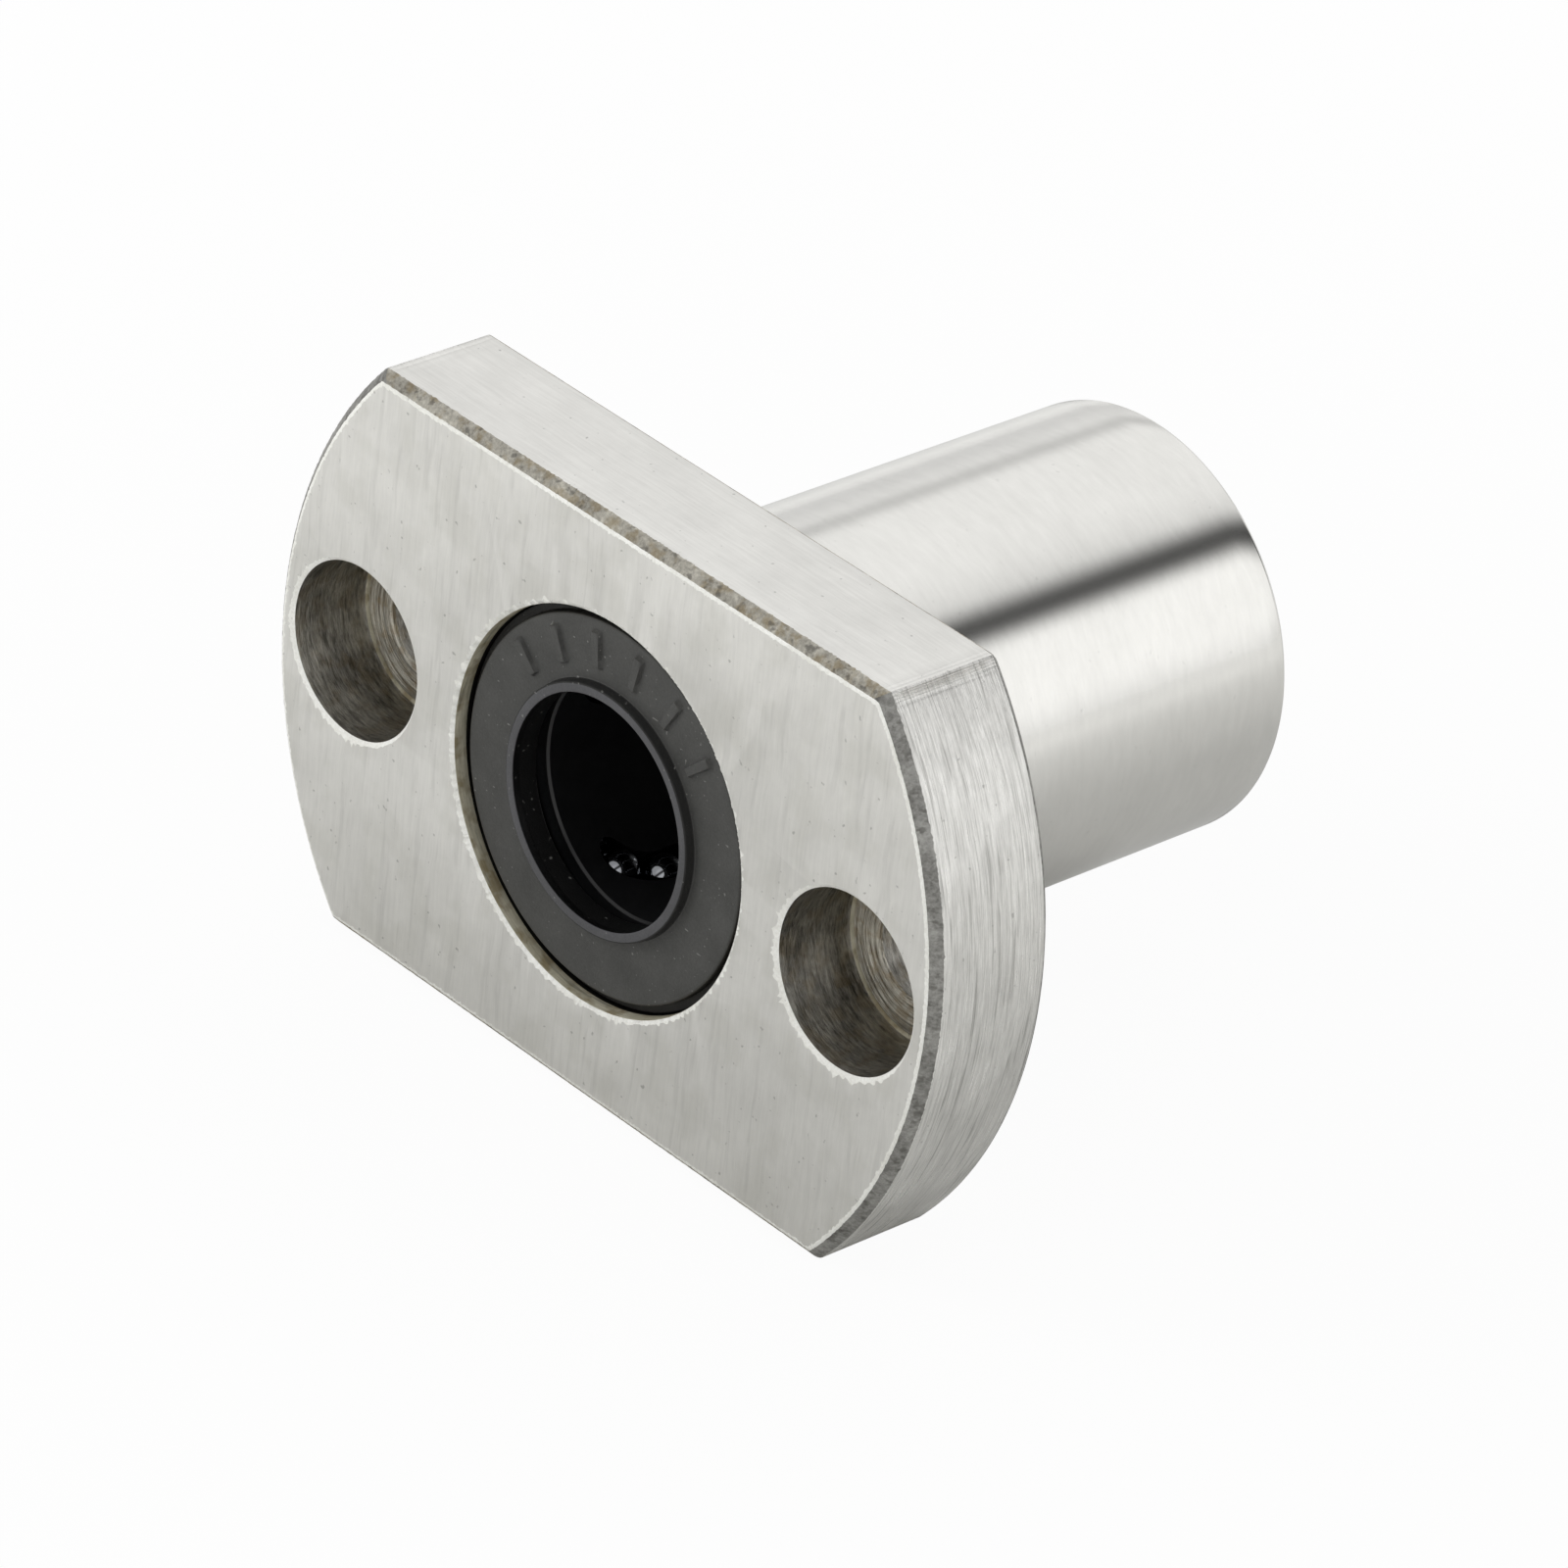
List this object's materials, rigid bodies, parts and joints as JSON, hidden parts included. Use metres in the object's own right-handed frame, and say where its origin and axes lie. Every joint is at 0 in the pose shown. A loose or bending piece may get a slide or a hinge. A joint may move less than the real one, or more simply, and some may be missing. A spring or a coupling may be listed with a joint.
{
  "type": "linear ball bushing",
  "caption": "Flanged linear ball bushing with two side cuts, two counterbored screw holes, recessed end seals and recirculating ball circuits in a cage.",
  "frame": {"origin": "on the shaft axis at the middle of the sleeve's length, which is also the centre of the bounding box", "axes": "+Y along the shaft from the flange's front face toward the plain end of the sleeve, +X through the two screw holes, +Z out of the upper flat of the flange"},
  "size_m": [0.032, 0.024, 0.021],
  "materials": {
    "bearing_steel": "ground and polished hardened bearing steel, with milled edge breaks",
    "cage_polymer": "moulded black acetal",
    "seal_rubber": "moulded dark grey nitrile rubber, matte",
    "spring_steel": "bright spring steel wire",
    "ball_steel": "polished hardened ball steel"
  },
  "bodies": {
    "bushing": {"sleeve_with_flange": "bearing_steel", "ball_cage": "cage_polymer", "front_seal": "seal_rubber", "rear_seal": "seal_rubber", "front_retaining_ring": "spring_steel", "rear_retaining_ring": "spring_steel"},
    "circuit_a_load_row": {"circuit_a_load_ball_1": "ball_steel", "circuit_a_load_ball_2": "ball_steel", "circuit_a_load_ball_3": "ball_steel", "circuit_a_load_ball_4": "ball_steel", "circuit_a_load_ball_5": "ball_steel", "circuit_a_load_ball_6": "ball_steel", "circuit_a_load_ball_7": "ball_steel", "circuit_a_load_ball_8": "ball_steel", "circuit_a_load_ball_9": "ball_steel"},
    "circuit_a_return_row": {"circuit_a_return_row": "ball_steel"},
    "circuit_a_front_turn": {"circuit_a_front_turn_balls": "ball_steel"},
    "circuit_a_rear_turn": {"circuit_a_rear_turn_balls": "ball_steel"},
    "circuit_b_load_row": {"circuit_b_load_ball_1": "ball_steel", "circuit_b_load_ball_2": "ball_steel", "circuit_b_load_ball_3": "ball_steel", "circuit_b_load_ball_4": "ball_steel", "circuit_b_load_ball_5": "ball_steel", "circuit_b_load_ball_6": "ball_steel", "circuit_b_load_ball_7": "ball_steel", "circuit_b_load_ball_8": "ball_steel", "circuit_b_load_ball_9": "ball_steel"},
    "circuit_b_return_row": {"circuit_b_return_row": "ball_steel"},
    "circuit_b_front_turn": {"circuit_b_front_turn_balls": "ball_steel"},
    "circuit_b_rear_turn": {"circuit_b_rear_turn_balls": "ball_steel"},
    "circuit_c_load_row": {"circuit_c_load_ball_1": "ball_steel", "circuit_c_load_ball_2": "ball_steel", "circuit_c_load_ball_3": "ball_steel", "circuit_c_load_ball_4": "ball_steel", "circuit_c_load_ball_5": "ball_steel", "circuit_c_load_ball_6": "ball_steel", "circuit_c_load_ball_7": "ball_steel", "circuit_c_load_ball_8": "ball_steel", "circuit_c_load_ball_9": "ball_steel"},
    "circuit_c_return_row": {"circuit_c_return_row": "ball_steel"},
    "circuit_c_front_turn": {"circuit_c_front_turn_balls": "ball_steel"},
    "circuit_c_rear_turn": {"circuit_c_rear_turn_balls": "ball_steel"},
    "circuit_d_load_row": {"circuit_d_load_ball_1": "ball_steel", "circuit_d_load_ball_2": "ball_steel", "circuit_d_load_ball_3": "ball_steel", "circuit_d_load_ball_4": "ball_steel", "circuit_d_load_ball_5": "ball_steel", "circuit_d_load_ball_6": "ball_steel", "circuit_d_load_ball_7": "ball_steel", "circuit_d_load_ball_8": "ball_steel", "circuit_d_load_ball_9": "ball_steel"},
    "circuit_d_return_row": {"circuit_d_return_row": "ball_steel"},
    "circuit_d_front_turn": {"circuit_d_front_turn_balls": "ball_steel"},
    "circuit_d_rear_turn": {"circuit_d_rear_turn_balls": "ball_steel"}
  },
  "joints": [
    {"name": "circuit_a_load_travel", "type": "slide", "parent": "bushing", "child": "circuit_a_load_row", "axis": [0, 1, 0], "range_m": [0, 0.0016]},
    {"name": "circuit_a_return_travel", "type": "slide", "parent": "bushing", "child": "circuit_a_return_row", "axis": [0, 1, 0], "range_m": [-0.0016, 0]},
    {"name": "circuit_a_front_turn_roll", "type": "hinge", "parent": "bushing", "child": "circuit_a_front_turn", "pos_m": [-0.00279, -0.00726, -0.00414], "axis": [-0.2756, 0, -0.9613], "range_deg": [-60, 0]},
    {"name": "circuit_a_rear_turn_roll", "type": "hinge", "parent": "bushing", "child": "circuit_a_rear_turn", "pos_m": [-0.00279, 0.00726, -0.00414], "axis": [-0.2756, 0, -0.9613], "range_deg": [-60, 0]},
    {"name": "circuit_b_load_travel", "type": "slide", "parent": "bushing", "child": "circuit_b_load_row", "axis": [0, 1, 0], "range_m": [0, 0.0016]},
    {"name": "circuit_b_return_travel", "type": "slide", "parent": "bushing", "child": "circuit_b_return_row", "axis": [0, 1, 0], "range_m": [-0.0016, 0]},
    {"name": "circuit_b_front_turn_roll", "type": "hinge", "parent": "bushing", "child": "circuit_b_front_turn", "pos_m": [0.00414, -0.00726, -0.00279], "axis": [0.9613, 0, -0.2756], "range_deg": [-60, 0]},
    {"name": "circuit_b_rear_turn_roll", "type": "hinge", "parent": "bushing", "child": "circuit_b_rear_turn", "pos_m": [0.00414, 0.00726, -0.00279], "axis": [0.9613, 0, -0.2756], "range_deg": [-60, 0]},
    {"name": "circuit_c_load_travel", "type": "slide", "parent": "bushing", "child": "circuit_c_load_row", "axis": [0, 1, 0], "range_m": [0, 0.0016]},
    {"name": "circuit_c_return_travel", "type": "slide", "parent": "bushing", "child": "circuit_c_return_row", "axis": [0, 1, 0], "range_m": [-0.0016, 0]},
    {"name": "circuit_c_front_turn_roll", "type": "hinge", "parent": "bushing", "child": "circuit_c_front_turn", "pos_m": [0.00279, -0.00726, 0.00414], "axis": [0.2756, 0, 0.9613], "range_deg": [-60, 0]},
    {"name": "circuit_c_rear_turn_roll", "type": "hinge", "parent": "bushing", "child": "circuit_c_rear_turn", "pos_m": [0.00279, 0.00726, 0.00414], "axis": [0.2756, 0, 0.9613], "range_deg": [-60, 0]},
    {"name": "circuit_d_load_travel", "type": "slide", "parent": "bushing", "child": "circuit_d_load_row", "axis": [0, 1, 0], "range_m": [0, 0.0016]},
    {"name": "circuit_d_return_travel", "type": "slide", "parent": "bushing", "child": "circuit_d_return_row", "axis": [0, 1, 0], "range_m": [-0.0016, 0]},
    {"name": "circuit_d_front_turn_roll", "type": "hinge", "parent": "bushing", "child": "circuit_d_front_turn", "pos_m": [-0.00414, -0.00726, 0.00279], "axis": [-0.9613, 0, 0.2756], "range_deg": [-60, 0]},
    {"name": "circuit_d_rear_turn_roll", "type": "hinge", "parent": "bushing", "child": "circuit_d_rear_turn", "pos_m": [-0.00414, 0.00726, 0.00279], "axis": [-0.9613, 0, 0.2756], "range_deg": [-60, 0]}
  ],
  "couplings": [
    {"joint": "circuit_a_return_travel", "follows": "circuit_a_load_travel", "ratio": -1},
    {"joint": "circuit_a_front_turn_roll", "follows": "circuit_a_load_travel", "rad_per_m": -649.35},
    {"joint": "circuit_a_rear_turn_roll", "follows": "circuit_a_load_travel", "rad_per_m": -649.35},
    {"joint": "circuit_b_return_travel", "follows": "circuit_b_load_travel", "ratio": -1},
    {"joint": "circuit_b_front_turn_roll", "follows": "circuit_b_load_travel", "rad_per_m": -649.35},
    {"joint": "circuit_b_rear_turn_roll", "follows": "circuit_b_load_travel", "rad_per_m": -649.35},
    {"joint": "circuit_c_return_travel", "follows": "circuit_c_load_travel", "ratio": -1},
    {"joint": "circuit_c_front_turn_roll", "follows": "circuit_c_load_travel", "rad_per_m": -649.35},
    {"joint": "circuit_c_rear_turn_roll", "follows": "circuit_c_load_travel", "rad_per_m": -649.35},
    {"joint": "circuit_d_return_travel", "follows": "circuit_d_load_travel", "ratio": -1},
    {"joint": "circuit_d_front_turn_roll", "follows": "circuit_d_load_travel", "rad_per_m": -649.35},
    {"joint": "circuit_d_rear_turn_roll", "follows": "circuit_d_load_travel", "rad_per_m": -649.35}
  ]
}
